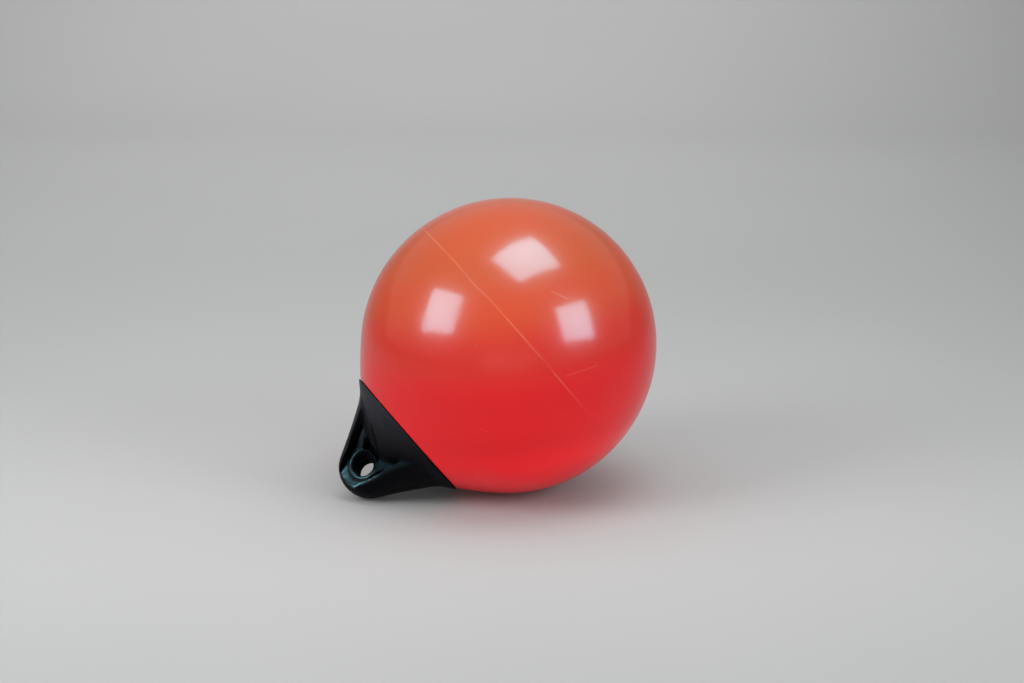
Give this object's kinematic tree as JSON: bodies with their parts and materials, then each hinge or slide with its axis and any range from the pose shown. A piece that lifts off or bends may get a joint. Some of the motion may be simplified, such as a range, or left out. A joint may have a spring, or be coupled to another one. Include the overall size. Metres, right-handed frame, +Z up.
{
  "type": "net float",
  "caption": "Small inflated ball float with a moulded ropehold and a rope eye on one end.",
  "frame": {"origin": "on the floor, under the middle of the part's box", "axes": "+Z up as the float lies at rest; +X from the ropehold's tip towards the ball, along the floor; the float's own axis lies in the XZ plane"},
  "size_m": [0.2192, 0.2, 0.2002],
  "materials": {
    "red_vinyl": "glossy smooth vinyl skin with fine scuffs",
    "black_moulding": "satin black injection moulding"
  },
  "bodies": {
    "root": {"float_body": "red_vinyl", "ropehold": "black_moulding"}
  },
  "joints": []
}
